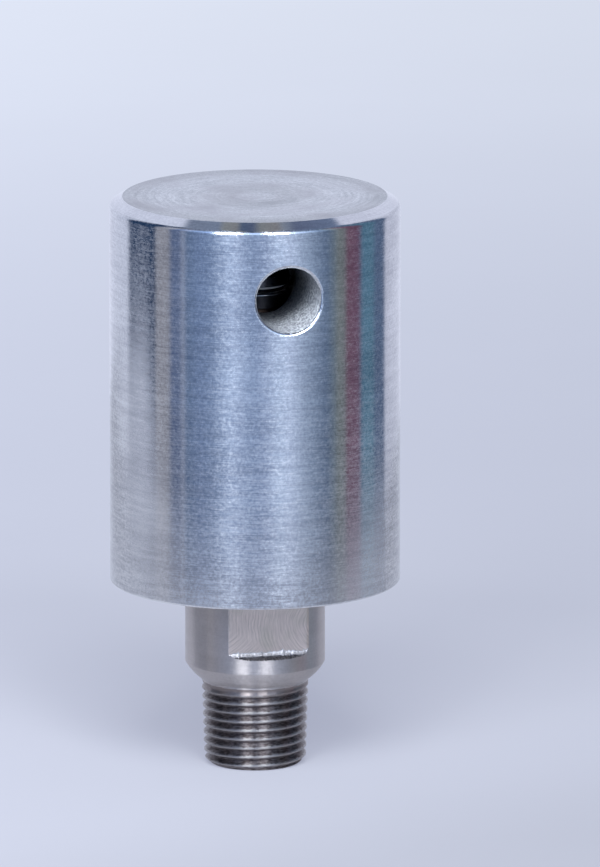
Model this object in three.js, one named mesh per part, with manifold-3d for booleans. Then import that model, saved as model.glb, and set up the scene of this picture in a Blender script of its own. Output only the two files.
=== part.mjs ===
// Dead-weight pressure relief valve with a half-inch taper thread, as an assembly.
// Units are millimetres. +Z is up, the origin is the centre of the inlet end face, and the outlet
// and the front wrench flat face -Y.
// A heavy steel weight hangs over a riser tube. Its spindle presses a soft-sealed disc onto a seat at
// the top of the tube, level with the side outlet. Pressure lifts the disc, the spindle and the
// weight together until the guide bush under the weight meets the stop washer on the riser.
import * as THREE from "three";
import { mergeVertices } from "three/addons/utils/BufferGeometryUtils.js";
import Module from "manifold-3d";

const wasm = await Module();
wasm.setup();

// ---- driving dimensions -------------------------------------------------------------------------
const REST = 0.05; // gap between faces that rest on each other
const FIT = 0.12; // radial gap between a piece and the hole that it is screwed or pressed into
const RUNNING = 0.1; // radial gap between a sliding piece and its guide
const LIFT = 4; // travel from the seat to the stop

const THREAD = {
  pitch: 25.4 / 14,
  gaugeRadius: 20.955 / 2, // half-inch taper pipe thread, at its gauge plane
  gaugeHeight: 10, // the gauge plane's height at the small end of the tolerance
  taper: 1 / 32, // growth of the radius with height
  depth: 1.162,
  flatShare: 0.17, // share of the pitch that is flat crest, and the same for the root
  length: 17.2,
  runout: 3.2, // height over which the groove fades out below the shoulder
  turn: 0.85, // share of the pitch by which the thread is turned
  endRadius: 8.9,
  endChamfer: 1.4,
  endSlope: 1.2, // radius gained per height on the end chamfer
  sides: 28,
};
const SHOULDER = { top: 20.8, bulge: 0.3 };
const NECK = { radius: 14, top: 36.5, acrossFlats: 23, flatBottom: 24.2 };
const INLET_RADIUS = 5;
const SOCKET = { radius: 9, floor: 23 }; // the riser is screwed in here
const JOINT_RING = { inner: 5.3, thickness: 1.1 };

const RISER = { foot: SOCKET.radius - FIT, footTop: 36, radius: 7.5, step: 54, upper: 7.2, top: 93 };
const SEAT = {
  shank: 6,
  shankBottom: 86.5,
  shankRoom: 0.3, // height left free below the shank
  bore: 5.2,
  flange: 7.7,
  flangeBottom: 94,
  flangeChamfer: 0.4,
  top: 97.2,
};
const SEAT_LIP = { outer: 5.9, taper: 0.2, height: 0.4 };
const SEAT_GASKET = { inner: 6.4, outer: 7.15 };
const STOP_WASHER = { outer: 10.8, thickness: 1.5 };
const STOP_CLIP = { groove: 6.5, outer: 9.2, thickness: 1 };

const WEIGHT = { radius: 29, bottom: 37.5, height: 78, rimWidth: 2.6, rimDrop: 1.35, edge: 0.4 };
WEIGHT.top = WEIGHT.bottom + WEIGHT.height;
const BORE = { radius: 8.75, ceiling: 108.7 };
const CHAMBER = { radius: 12, top: 60 }; // the wider bore, over the bush and the stop washer
const OUTLET = { radius: 6.5, height: WEIGHT.top - 15.5 };

const PLATE = { radius: 24.5, thickness: 6, screwCircle: 18.3, screws: 4 };
const SCREW = {
  head: 3.5,
  headHeight: 2.8,
  headRoom: 0.3, // gap all round the head
  shank: 2,
  length: 10,
  keyFlats: 2.5,
  keyDepth: 1.5,
  sunk: 0.2, // depth of the head below the plate's face
};
const BUSH = { body: 10.5, flange: 11.6, flangeHeight: 1.9, sleeve: 9.6, top: RISER.step - LIFT };

const WING = {
  hub: 4.2,
  core: 1.4,
  thickness: 1.4,
  bottom: 87,
  hubBottom: 94,
  count: 3,
  stud: 2.4,
  studRise: 1.4, // height of the stud above the seal
};
const SEAL = { radius: 6.2, thickness: 1.2 };
const DISC = {
  radius: 6.8,
  skirtDrop: 0.7,
  rimTop: 100.2,
  crownRise: 0.8, // from the rim up to the boss
  boss: 4.9,
  top: 104.2,
  cup: 3.8,
  cupFloor: 101,
  studRoom: 0.2, // free height above the wing guide's stud
};
const SPINDLE = {
  thread: 3,
  tip: 2.3,
  tipRound: 0.7,
  collar: 3.4,
  collarBottom: 102.1,
  collarTop: 102.9,
  neckHeight: 1.6,
  threadLead: 0.4,
  end: 112.2,
  endRoom: 0.4, // free height above the spindle in the weight
};
const SWIVEL_CLIP = { inner: 2.6, outer: 4.2, thickness: 0.5, play: 0.15 };
const NUT = { acrossFlats: 10, thickness: 2.8 };

const LARGE = 56; // sides of the weight
const MEDIUM = 32;
const SMALL = 16;

// ---- geometry helpers ---------------------------------------------------------------------------
function toSolid(geometry) {
  const bare = geometry.clone();
  bare.deleteAttribute("normal");
  bare.deleteAttribute("uv");
  const merged = mergeVertices(bare, 1e-4);
  const index = merged.index.array;
  const triangles = [];
  for (let i = 0; i < index.length; i += 3) {
    const [a, b, c] = index.slice(i, i + 3);
    if (a !== b && b !== c && c !== a) triangles.push(a, b, c);
  }
  const vertProperties = new Float32Array(merged.attributes.position.array);
  const triVerts = new Uint32Array(triangles);
  return new wasm.Manifold(new wasm.Mesh({ numProp: 3, vertProperties, triVerts }));
}

// A solid of revolution about Z. The outline is a list of [radius, height], anticlockwise.
function turned(outline, sides = MEDIUM) {
  const points = outline.map(([r, z]) => new THREE.Vector2(r, z));
  const closesOnAxis = outline[0][0] === 0 && outline.at(-1)[0] === 0;
  if (!closesOnAxis) points.push(points[0].clone());
  return toSolid(new THREE.LatheGeometry(points, sides).rotateX(Math.PI / 2));
}

function ring(inner, outer, bottom, top, sides = MEDIUM) {
  return turned([[inner, bottom], [outer, bottom], [outer, top], [inner, top]], sides);
}

function rodGeometry(radius, bottom, top, sides) {
  const height = top - bottom;
  const rod = new THREE.CylinderGeometry(radius, radius, height, sides);
  return rod.rotateX(Math.PI / 2).translate(0, 0, bottom + height / 2);
}

function rod(radius, bottom, top, sides = MEDIUM) {
  return toSolid(rodGeometry(radius, bottom, top, sides));
}

function block(width, depth, height, x, y, z) {
  return toSolid(new THREE.BoxGeometry(width, depth, height).translate(x, y, z));
}

function hexagon(acrossFlats, bottom, top) {
  const corner = acrossFlats / Math.sqrt(3);
  const shape = new THREE.CylinderGeometry(corner, corner, top - bottom, 6);
  return toSolid(shape.rotateX(Math.PI / 2).translate(0, 0, (bottom + top) / 2));
}

// A flat ring with a gap towards +Y, as a retaining ring has.
function openRing(inner, outer, bottom, thickness) {
  const gap = 0.8 * inner;
  const slot = block(gap, outer + 1, thickness + 2, 0, (outer + 1) / 2, bottom + thickness / 2);
  return ring(inner, outer, bottom, bottom + thickness).subtract(slot);
}

// Points from one [radius, height] to another along a slightly convex slope.
function bulged([r0, z0], [r1, z1], bulge, steps = 4) {
  const length = Math.hypot(r1 - r0, z1 - z0);
  return Array.from({ length: steps + 1 }, (_, i) => {
    const t = i / steps;
    const out = (4 * bulge * t * (1 - t)) / length;
    return [r0 + (r1 - r0) * t + (z1 - z0) * out, z0 + (z1 - z0) * t - (r1 - r0) * out];
  });
}

// ---- materials ----------------------------------------------------------------------------------
const brightSteel = new THREE.MeshStandardMaterial({ color: 0xc3cad6, roughness: 0.3, metalness: 1 });
const turnedSteel = new THREE.MeshStandardMaterial({ color: 0xa9a8ac, roughness: 0.38, metalness: 1 });
const hardSteel = new THREE.MeshStandardMaterial({ color: 0x8f9196, roughness: 0.3, metalness: 1 });
const springSteel = new THREE.MeshStandardMaterial({ color: 0x4c4a48, roughness: 0.45, metalness: 1 });
const bronze = new THREE.MeshStandardMaterial({ color: 0xb08448, roughness: 0.4, metalness: 1 });
const copper = new THREE.MeshStandardMaterial({ color: 0xb8704e, roughness: 0.42, metalness: 1 });
const sealPlastic = new THREE.MeshStandardMaterial({ color: 0xe9e7e0, roughness: 0.55, metalness: 0 });

const assembly = new THREE.Group();
const nozzleGroup = new THREE.Group(); // stands still
const valveGroup = new THREE.Group(); // slides up from the seat
const weightGroup = new THREE.Group(); // rides up on the valve and can turn on it
assembly.add(nozzleGroup, valveGroup, weightGroup);

function addPart(group, name, solid, material) {
  const { vertProperties, triVerts } = solid.getMesh();
  const geometry = new THREE.BufferGeometry();
  geometry.setAttribute("position", new THREE.BufferAttribute(new Float32Array(vertProperties), 3));
  geometry.setIndex(new THREE.BufferAttribute(new Uint32Array(triVerts), 1));
  const faceted = geometry.toNonIndexed();
  faceted.computeVertexNormals();
  const mesh = new THREE.Mesh(faceted, material.clone());
  mesh.name = name;
  group.add(mesh);
  return mesh;
}

// ---- inlet body ---------------------------------------------------------------------------------
function crestRadius(z) {
  return THREAD.gaugeRadius + (z - THREAD.gaugeHeight) * THREAD.taper;
}

// A tapered rod with a right-hand helical groove, reaching past both ends of the thread. Each column
// of points runs up the rod at one angle, and starts higher than the one before it, so that the last
// column meets the first one a pitch further up.
function threadBlank() {
  const { pitch, depth, flatShare, length, runout, turn, sides } = THREAD;
  const levels = [0, flatShare, 0.5, 0.5 + flatShare];
  const perTurn = levels.length;
  const rows = (Math.ceil(length / pitch) + 3) * perTurn;
  const start = (turn - 2) * pitch;
  const positions = [];
  const addColumn = (side, rowCount) => {
    const angle = (side / sides) * 2 * Math.PI;
    for (let row = 0; row <= rowCount; row++) {
      const turns = Math.floor(row / perTurn) + levels[row % perTurn] + side / sides;
      const z = start + turns * pitch;
      const isRoot = row % perTurn >= 2;
      const fade = THREE.MathUtils.clamp((length - z) / runout, 0, 1);
      const r = crestRadius(z) - (isRoot ? depth * fade : 0);
      positions.push(r * Math.cos(angle), r * Math.sin(angle), z);
    }
  };
  addColumn(0, rows + perTurn);
  for (let side = 1; side < sides; side++) addColumn(side, rows);

  const at = (side, row) => {
    if (side === 0) return row;
    if (side === sides) return row + perTurn;
    return rows + perTurn + 1 + (side - 1) * (rows + 1) + row;
  };
  const faces = [];
  for (let side = 0; side < sides; side++) {
    for (let row = 0; row < rows; row++) {
      const [a, b, c, d] = [at(side, row), at(side + 1, row), at(side + 1, row + 1), at(side, row + 1)];
      faces.push(a, b, c, a, c, d);
    }
  }
  const addCap = (row, z, isTop) => {
    const loop = Array.from({ length: sides + 1 }, (_, side) => at(side, row));
    for (let step = perTurn - 1; step > 0; step--) loop.push(at(0, row + step));
    const hub = positions.push(0, 0, z) / 3 - 1;
    loop.forEach((a, i) => {
      const b = loop[(i + 1) % loop.length];
      if (isTop) faces.push(hub, a, b);
      else faces.push(hub, b, a);
    });
  };
  addCap(0, start, false);
  addCap(rows, start + (rows / perTurn + 1) * pitch, true);

  const geometry = new THREE.BufferGeometry();
  geometry.setAttribute("position", new THREE.Float32BufferAttribute(positions, 3));
  geometry.setIndex(faces);
  return toSolid(geometry);
}

function inletBody() {
  const { length, endRadius, endChamfer, endSlope } = THREAD;
  const shoulderFoot = crestRadius(length) - 0.05;
  const reach = 1; // how far the thread goes up inside the shoulder
  const threadEnvelope = turned(
    [
      [0, 0],
      [endRadius, 0],
      [endRadius + endSlope * endChamfer, endChamfer],
      [NECK.radius, endChamfer + 1],
      [NECK.radius, length - 0.2],
      [shoulderFoot - 0.5, length + reach],
      [0, length + reach],
    ],
    THREAD.sides,
  );
  const slope = bulged([shoulderFoot, length], [NECK.radius, SHOULDER.top], SHOULDER.bulge);
  const neck = turned([[0, length], ...slope, [NECK.radius, NECK.top], [0, NECK.top]]);
  const flatDepth = NECK.radius - NECK.acrossFlats / 2;
  const flatHeight = NECK.top - NECK.flatBottom + 1;
  const flatCut = (side) => block(
    3 * NECK.radius, 2 * flatDepth, flatHeight,
    0, side * NECK.radius, NECK.flatBottom + flatHeight / 2,
  );
  return threadBlank()
    .intersect(threadEnvelope)
    .add(neck)
    .subtract(flatCut(-1))
    .subtract(flatCut(1))
    .subtract(rod(INLET_RADIUS, -1, NECK.top))
    .subtract(rod(SOCKET.radius, SOCKET.floor, NECK.top + 1));
}

// ---- riser, seat and stop -----------------------------------------------------------------------
const jointRingTop = SOCKET.floor + REST + JOINT_RING.thickness;
const stopWasherTop = RISER.step + REST + STOP_WASHER.thickness;
const stopClipBottom = stopWasherTop + REST;

function riserTube() {
  const clipGroove = ring(
    STOP_CLIP.groove, RISER.radius + 1, stopClipBottom - REST, stopClipBottom + STOP_CLIP.thickness + REST,
  );
  return turned([
    [INLET_RADIUS, jointRingTop + REST],
    [RISER.foot, jointRingTop + REST],
    [RISER.foot, RISER.footTop],
    [RISER.radius, RISER.footTop],
    [RISER.radius, RISER.step],
    [RISER.upper, RISER.step],
    [RISER.upper, RISER.top],
    [SEAT.shank + FIT, RISER.top],
    [SEAT.shank + FIT, SEAT.shankBottom - SEAT.shankRoom],
    [INLET_RADIUS, SEAT.shankBottom - SEAT.shankRoom],
  ]).subtract(clipGroove);
}

function seatRing() {
  return turned([
    [SEAT.bore, SEAT.shankBottom],
    [SEAT.shank, SEAT.shankBottom],
    [SEAT.shank, SEAT.flangeBottom],
    [SEAT.flange, SEAT.flangeBottom],
    [SEAT.flange, SEAT.top - SEAT.flangeChamfer],
    [SEAT.flange - SEAT.flangeChamfer, SEAT.top],
    [SEAT_LIP.outer, SEAT.top],
    [SEAT_LIP.outer - SEAT_LIP.taper, SEAT.top + SEAT_LIP.height],
    [SEAT.bore, SEAT.top + SEAT_LIP.height],
  ]);
}

// ---- disc, seal and wing guide ------------------------------------------------------------------
const sealBottom = SEAT.top + SEAT_LIP.height + REST;
const sealTop = sealBottom + SEAL.thickness;
const swivelClipBottom = SPINDLE.collarTop + SWIVEL_CLIP.play;
const studTop = sealTop + WING.studRise;

function wingGuide() {
  const wingReach = SEAT.bore - RUNNING;
  const wingTop = sealBottom - 2 * REST;
  const hub = rod(WING.hub, WING.hubBottom, wingTop, SMALL);
  let guide = hub.add(rod(WING.core, WING.bottom, WING.hubBottom + 1, SMALL));
  for (let i = 0; i < WING.count; i++) {
    const height = wingTop - WING.bottom;
    const wing = new THREE.BoxGeometry(wingReach, WING.thickness, height)
      .translate(wingReach / 2, 0, WING.bottom + height / 2)
      .rotateZ((i * 2 * Math.PI) / WING.count);
    guide = guide.add(toSolid(wing));
  }
  return guide
    .intersect(rod(wingReach, WING.bottom - 1, wingTop + 1))
    .add(rod(WING.stud, wingTop - 1, studTop, SMALL));
}

function valveDisc() {
  const sealPocket = SEAL.radius + FIT;
  const grooveTop = swivelClipBottom + SWIVEL_CLIP.thickness + REST;
  const clipGroove = ring(DISC.cup, SWIVEL_CLIP.outer + FIT, swivelClipBottom - REST, grooveTop);
  return turned([
    [0, sealTop + REST],
    [sealPocket, sealTop + REST],
    [sealPocket, sealTop - DISC.skirtDrop],
    [DISC.radius, sealTop - DISC.skirtDrop],
    [DISC.radius, DISC.rimTop],
    [DISC.boss, DISC.rimTop + DISC.crownRise],
    [DISC.boss, DISC.top],
    [DISC.cup + FIT, DISC.top],
    [DISC.cup + FIT, DISC.cupFloor],
    [0, DISC.cupFloor],
  ])
    .subtract(rod(WING.stud + FIT, sealTop - 1, studTop + DISC.studRoom, SMALL))
    .subtract(clipGroove);
}

// ---- weight and the pieces fixed to it ----------------------------------------------------------
const plateBottom = WEIGHT.bottom + REST;
const plateTop = plateBottom + PLATE.thickness;
const recessTop = plateTop + REST;

function screwPosition(index) {
  const angle = ((index + 0.5) / PLATE.screws) * 2 * Math.PI;
  return new THREE.Vector3(PLATE.screwCircle * Math.cos(angle), PLATE.screwCircle * Math.sin(angle), 0);
}

// Cuts one round hole at each plate screw.
function drillForScrews(solid, radius, bottom, top) {
  let drilled = solid;
  for (let i = 0; i < PLATE.screws; i++) {
    const { x, y } = screwPosition(i);
    drilled = drilled.subtract(toSolid(rodGeometry(radius, bottom, top, SMALL).translate(x, y, 0)));
  }
  return drilled;
}

function weight() {
  const { radius, bottom, top, rimWidth, rimDrop, edge } = WEIGHT;
  const block = turned(
    [
      [PLATE.radius + FIT, bottom],
      [radius - edge, bottom],
      [radius, bottom + edge],
      [radius, top - rimDrop],
      [radius - rimWidth, top],
      [0, top],
      [0, BORE.ceiling],
      [BORE.radius, BORE.ceiling],
      [BORE.radius, CHAMBER.top],
      [CHAMBER.radius, CHAMBER.top],
      [CHAMBER.radius, recessTop],
      [PLATE.radius + FIT, recessTop],
    ],
    LARGE,
  );
  const outlet = new THREE.CylinderGeometry(OUTLET.radius, OUTLET.radius, radius + 1, MEDIUM)
    .translate(0, -(radius + 1) / 2, 0)
    .translate(0, 0, OUTLET.height);
  const spindleHole = rod(SPINDLE.thread + FIT, BORE.ceiling - 1, SPINDLE.end + SPINDLE.endRoom, SMALL);
  const bored = block.subtract(toSolid(outlet)).subtract(spindleHole);
  return drillForScrews(bored, SCREW.shank + FIT, recessTop - 1, plateTop + SCREW.length - 2);
}

function bottomPlate() {
  const plate = ring(BUSH.body + FIT, PLATE.radius, plateBottom, plateTop, LARGE);
  const through = drillForScrews(plate, SCREW.shank + 2 * FIT, plateBottom - 1, plateTop + 1);
  const headDepth = SCREW.headHeight + SCREW.headRoom;
  return drillForScrews(through, SCREW.head + SCREW.headRoom, plateBottom - 1, plateBottom + headDepth);
}

function plateScrew() {
  const headBottom = plateBottom + SCREW.sunk;
  const headTop = headBottom + SCREW.headHeight;
  return rod(SCREW.head, headBottom, headTop, SMALL)
    .add(rod(SCREW.shank, headTop - 0.5, headTop + SCREW.length, SMALL))
    .subtract(hexagon(SCREW.keyFlats, headBottom - 1, headBottom + SCREW.keyDepth));
}

function guideBush() {
  const bore = RISER.radius + RUNNING;
  return turned([
    [bore, plateBottom],
    [BUSH.body, plateBottom],
    [BUSH.body, plateTop + REST],
    [BUSH.flange, plateTop + REST],
    [BUSH.flange, plateTop + REST + BUSH.flangeHeight],
    [BUSH.sleeve, plateTop + REST + BUSH.flangeHeight],
    [BUSH.sleeve, BUSH.top],
    [bore, BUSH.top],
  ]);
}

function pivotSpindle() {
  const { thread, tip, tipRound, collar, collarBottom, collarTop, neckHeight, threadLead, end } = SPINDLE;
  const tipBottom = DISC.cupFloor + REST;
  return turned(
    [
      [0, tipBottom],
      [0.55 * tip, tipBottom + 0.2 * tipRound],
      [tip, tipBottom + tipRound],
      [tip, collarBottom],
      [collar, collarBottom],
      [collar, collarTop],
      [tip, collarTop],
      [tip, collarTop + neckHeight],
      [thread, collarTop + neckHeight + threadLead],
      [thread, end],
      [0, end],
    ],
    SMALL,
  );
}

function lockNut() {
  const top = BORE.ceiling - REST;
  const bottom = top - NUT.thickness;
  const hole = rod(SPINDLE.thread + FIT, bottom - 1, top + 1, SMALL);
  return hexagon(NUT.acrossFlats, bottom, top).subtract(hole);
}

// ---- the assembly -------------------------------------------------------------------------------
addPart(nozzleGroup, "inlet_body", inletBody(), turnedSteel);
const jointRing = ring(JOINT_RING.inner, RISER.foot, SOCKET.floor + REST, jointRingTop);
addPart(nozzleGroup, "joint_ring", jointRing, copper);
addPart(nozzleGroup, "riser_tube", riserTube(), turnedSteel);
const stopWasher = ring(RISER.upper + RUNNING, STOP_WASHER.outer, RISER.step + REST, stopWasherTop);
addPart(nozzleGroup, "stop_washer", stopWasher, hardSteel);
const stopClip = openRing(STOP_CLIP.groove + FIT, STOP_CLIP.outer, stopClipBottom, STOP_CLIP.thickness);
addPart(nozzleGroup, "stop_clip", stopClip, springSteel);
const seatGasket = ring(SEAT_GASKET.inner, SEAT_GASKET.outer, RISER.top + REST, SEAT.flangeBottom - REST);
addPart(nozzleGroup, "seat_gasket", seatGasket, copper);
addPart(nozzleGroup, "seat_ring", seatRing(), hardSteel);

addPart(valveGroup, "wing_guide", wingGuide(), turnedSteel);
addPart(valveGroup, "seal_disc", ring(WING.stud + FIT, SEAL.radius, sealBottom, sealTop), sealPlastic);
addPart(valveGroup, "valve_disc", valveDisc(), turnedSteel);
const { inner: clipInner, outer: clipOuter, thickness: clipThickness } = SWIVEL_CLIP;
const swivelClip = openRing(clipInner, clipOuter, swivelClipBottom, clipThickness);
addPart(valveGroup, "swivel_clip", swivelClip, springSteel);

addPart(weightGroup, "weight", weight(), brightSteel);
addPart(weightGroup, "pivot_spindle", pivotSpindle(), hardSteel);
addPart(weightGroup, "lock_nut", lockNut(), hardSteel);
addPart(weightGroup, "bottom_plate", bottomPlate(), turnedSteel);
for (let i = 0; i < PLATE.screws; i++) {
  const screw = addPart(weightGroup, `plate_screw_${i + 1}`, plateScrew(), hardSteel);
  screw.position.copy(screwPosition(i));
}
addPart(weightGroup, "guide_bush", guideBush(), bronze);

export default assembly;
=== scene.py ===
# Looks for a dead-weight pressure relief valve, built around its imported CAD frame. The valve's own
# lengths are millimetres here, and the camera's, the floor's and the lamps' are metres. Every piece
# gets a finer mesh than the frame's, and all the materials are procedural.
import math
import bmesh
import bpy
from mathutils import Matrix, Vector, noise


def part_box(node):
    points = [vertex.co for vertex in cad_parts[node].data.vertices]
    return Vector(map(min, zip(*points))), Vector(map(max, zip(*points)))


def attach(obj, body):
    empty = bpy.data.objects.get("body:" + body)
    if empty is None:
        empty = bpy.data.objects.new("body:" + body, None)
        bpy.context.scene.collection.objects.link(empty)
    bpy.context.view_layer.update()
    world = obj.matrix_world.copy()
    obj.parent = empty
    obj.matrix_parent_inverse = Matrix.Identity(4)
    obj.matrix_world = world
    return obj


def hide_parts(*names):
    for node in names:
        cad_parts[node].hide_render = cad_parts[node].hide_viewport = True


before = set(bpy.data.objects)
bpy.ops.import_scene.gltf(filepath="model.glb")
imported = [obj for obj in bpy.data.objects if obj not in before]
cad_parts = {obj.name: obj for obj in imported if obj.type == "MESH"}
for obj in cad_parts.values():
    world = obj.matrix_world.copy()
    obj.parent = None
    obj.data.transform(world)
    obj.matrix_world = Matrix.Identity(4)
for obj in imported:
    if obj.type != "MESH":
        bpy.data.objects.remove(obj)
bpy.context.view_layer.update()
MM = 0.001


def box_mm(node):
    """A node's lowest and highest corners in millimetres."""
    low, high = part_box(node)
    return low / MM, high / MM


# ---- driving dimensions, from the frame where it can give them ----
WEIGHT_LOW, WEIGHT_HIGH = box_mm("weight")
INLET_HIGH = box_mm("inlet_body")[1]
PLATE_LOW, PLATE_HIGH = box_mm("bottom_plate")
REST, FIT, RUNNING = 0.05, 0.12, 0.1  # gaps: resting faces, fixed fits and sliding fits

WEIGHT_R = WEIGHT_HIGH.x
WEIGHT_BOTTOM, WEIGHT_TOP = WEIGHT_LOW.z, WEIGHT_HIGH.z
RIM_WIDTH, RIM_DROP, RIM_ROUND = 2.6, 1.6, 1.2  # the top's chamfer, worn round at its lower edge
OUTLET_R, OUTLET_Z = 6.5, WEIGHT_TOP - 15.5
BORE_R, BORE_CEILING = 8.75, 108.7
CHAMBER_R, CHAMBER_TOP = 12.0, 60.0
PLATE_R, PLATE_BOTTOM, PLATE_TOP = PLATE_HIGH.x, PLATE_LOW.z, PLATE_HIGH.z
RECESS_R, RECESS_TOP = PLATE_R + FIT, PLATE_TOP + REST
SCREW_CIRCLE_R, SCREW_COUNT = 18.3, 4
SCREW_HEAD_R, SCREW_HEAD_HEIGHT, SCREW_HEAD_ROOM = 3.5, 2.8, 0.3
SCREW_SHANK_R, SCREW_LENGTH = 2.0, 10.0
KEY_FLATS, KEY_DEPTH = 2.5, 1.5
BUSH_R, BUSH_FLANGE_R, BUSH_SLEEVE_R = 10.5, 11.6, 9.6

NECK_R, NECK_TOP = INLET_HIGH.x, INLET_HIGH.z
FLAT_Y = 11.5
FLAT_BOTTOM = 24.2
SHOULDER_TOP = 20.8
THREAD_LENGTH = 17.2
THREAD_PITCH = 25.4 / 14
THREAD_DEPTH = 1.162
THREAD_TURN = 0.935  # share of the pitch by which the crest is turned
THREAD_FADE = 2.4  # height over which the groove runs out, below the shoulder
THREAD_END_R, THREAD_CHAMFER, CHAMFER_SLOPE = 8.9, 1.4, 1.2
GAUGE_R, GAUGE_Z, TAPER = 20.955 / 2, 10.0, 1 / 32
INLET_R = 5.0
SOCKET_R, SOCKET_FLOOR = 9.0, 23.0

LIFT = 4.0
RISER_R, RISER_STEP, RISER_UPPER_R, RISER_TOP = 7.5, 54.0, 7.2, 93.0
STOP_WASHER_TOP = RISER_STEP + REST + 1.5
STOP_GROOVE_R, STOP_CLIP_THICKNESS = 6.5, 1.0
SEAT_SHANK_R, SEAT_SHANK_BOTTOM, SEAT_FLANGE_BOTTOM, SEAT_TOP = 6.0, 86.5, 94.0, 97.2
SEAT_BORE_R, SEAT_LIP_R, SEAT_FLANGE_R, SEAT_EDGE = 5.2, 5.9, 7.7, 0.4
SEAL_R, SEAL_BOTTOM, SEAL_TOP = 6.2, 97.65, 98.85
STUD_R = 2.4  # of the wing guide's stud, which holds the seal and the disc
SWIVEL_CLIP_R, SWIVEL_CLIP_LOW, SWIVEL_CLIP_HIGH = 4.2, 103.05, 103.55
SPINDLE_R, SPINDLE_END = 3.0, 112.2

FINE, MEDIUM, SMALL = 256, 96, 64


# ---- mesh helpers ----
def link(name, data):
    piece = bpy.data.objects.new(name, data)
    bpy.context.scene.collection.objects.link(piece)
    return piece


def mesh_from(name, points_mm, faces):
    mesh = bpy.data.meshes.new(name)
    mesh.from_pydata([Vector(p) * MM for p in points_mm], [], faces)
    mesh.validate()
    mesh.update()
    return mesh


def remove(piece):
    mesh = piece.data
    bpy.data.objects.remove(piece)
    bpy.data.meshes.remove(mesh)


def rounded(outline, radius, steps=5):
    """The closed outline [(r, z), ...] with an arc in place of each corner that is off the axis. A
    corner may give its own radius as a third value."""
    corners = [Vector(point[:2]) for point in outline]
    result = []
    for i, corner in enumerate(corners):
        wanted = outline[i][2] if len(outline[i]) > 2 else radius
        before, after = corners[i - 1], corners[(i + 1) % len(corners)]
        a, b = before - corner, after - corner
        cosine = max(-1.0, min(1.0, a.normalized() @ b.normalized()))
        half = math.acos(cosine) / 2
        if corner.x < 1e-6 or half > math.radians(86):
            result.append(corner)
            continue
        reach = min(wanted / math.tan(half), 0.45 * a.length, 0.45 * b.length)
        start, end = corner + a.normalized() * reach, corner + b.normalized() * reach
        arc_r = reach * math.tan(half)
        centre = corner + (a.normalized() + b.normalized()).normalized() * (arc_r / math.sin(half))
        for k in range(steps + 1):
            ray = (start - centre).lerp(end - centre, k / steps).normalized()
            result.append(centre + ray * arc_r)
    return [(p.x, p.y) for p in result]


def lathe(name, outline, sides=MEDIUM, edge=0.15, steps=5):
    """A closed solid of revolution from an anticlockwise [(r, z), ...] in millimetres."""
    if edge:
        outline = rounded(outline, edge, steps)
    points, columns = [], []
    for side in range(sides):
        angle = 2 * math.pi * side / sides
        columns.append([])
        for i, (r, z) in enumerate(outline):
            if r < 1e-6 and side:
                columns[-1].append(columns[0][i])
                continue
            columns[-1].append(len(points))
            points.append((r * math.cos(angle), r * math.sin(angle), z))
    faces = []
    for side in range(sides):
        here, there = columns[side], columns[(side + 1) % sides]
        for i in range(len(outline)):
            j = (i + 1) % len(outline)
            face = [here[i], there[i], there[j], here[j]]
            face = [v for k, v in enumerate(face) if v != face[k - 1]]
            if len(face) >= 3:
                faces.append(face)
    return link(name, mesh_from(name, points, faces))


def ring(name, inner, outer, low, high, sides=MEDIUM, edge=0.12):
    return lathe(name, [(inner, low), (outer, low), (outer, high), (inner, high)], sides, edge)


def swept(name, points, around):
    """A closed solid from rings of points, each with so many, one after another along it."""
    last = len(points) - around
    faces = []
    for row in range(0, last, around):
        for i in range(around):
            a, b = row + i, row + (i + 1) % around
            faces.append([a, b, b + around, a + around])
    faces.append(list(range(around))[::-1])
    faces.append(list(range(last, last + around)))
    piece = link(name, mesh_from(name, points, faces))
    bm = bmesh.new()
    bm.from_mesh(piece.data)
    bmesh.ops.recalc_face_normals(bm, faces=bm.faces)
    bm.to_mesh(piece.data)
    bm.free()
    return piece


def shift(piece, x, y):
    piece.data.transform(Matrix.Translation((x * MM, y * MM, 0)))
    return piece


def rod(name, radius, low, high, x=0.0, y=0.0, sides=SMALL, edge=0.0):
    piece = lathe(name, [(0, low), (radius, low), (radius, high), (0, high)], sides, edge)
    return shift(piece, x, y)


def block(name, low, high):
    """A box between two corners in millimetres."""
    points = [(x, y, z) for x in (low[0], high[0]) for y in (low[1], high[1]) for z in (low[2], high[2])]
    faces = [(0, 1, 3, 2), (4, 6, 7, 5), (0, 4, 5, 1), (2, 3, 7, 6), (0, 2, 6, 4), (1, 5, 7, 3)]
    return link(name, mesh_from(name, points, faces))


def apply_modifier(piece, modifier):
    graph = bpy.context.evaluated_depsgraph_get()
    result = bpy.data.meshes.new_from_object(piece.evaluated_get(graph), depsgraph=graph)
    piece.modifiers.remove(modifier)
    old = piece.data
    piece.data = result
    bpy.data.meshes.remove(old)


def boolean(piece, tool, operation="DIFFERENCE"):
    """Cuts, joins or intersects, and removes the tool."""
    modifier = piece.modifiers.new("boolean", "BOOLEAN")
    modifier.operation = operation
    modifier.solver = "EXACT"
    modifier.object = tool
    apply_modifier(piece, modifier)
    remove(tool)


def drill(piece, radius, low, high, x=0.0, y=0.0, sides=SMALL):
    """Cuts a round hole along Z."""
    boolean(piece, rod("drill", radius, low, high, x, y, sides))


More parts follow.
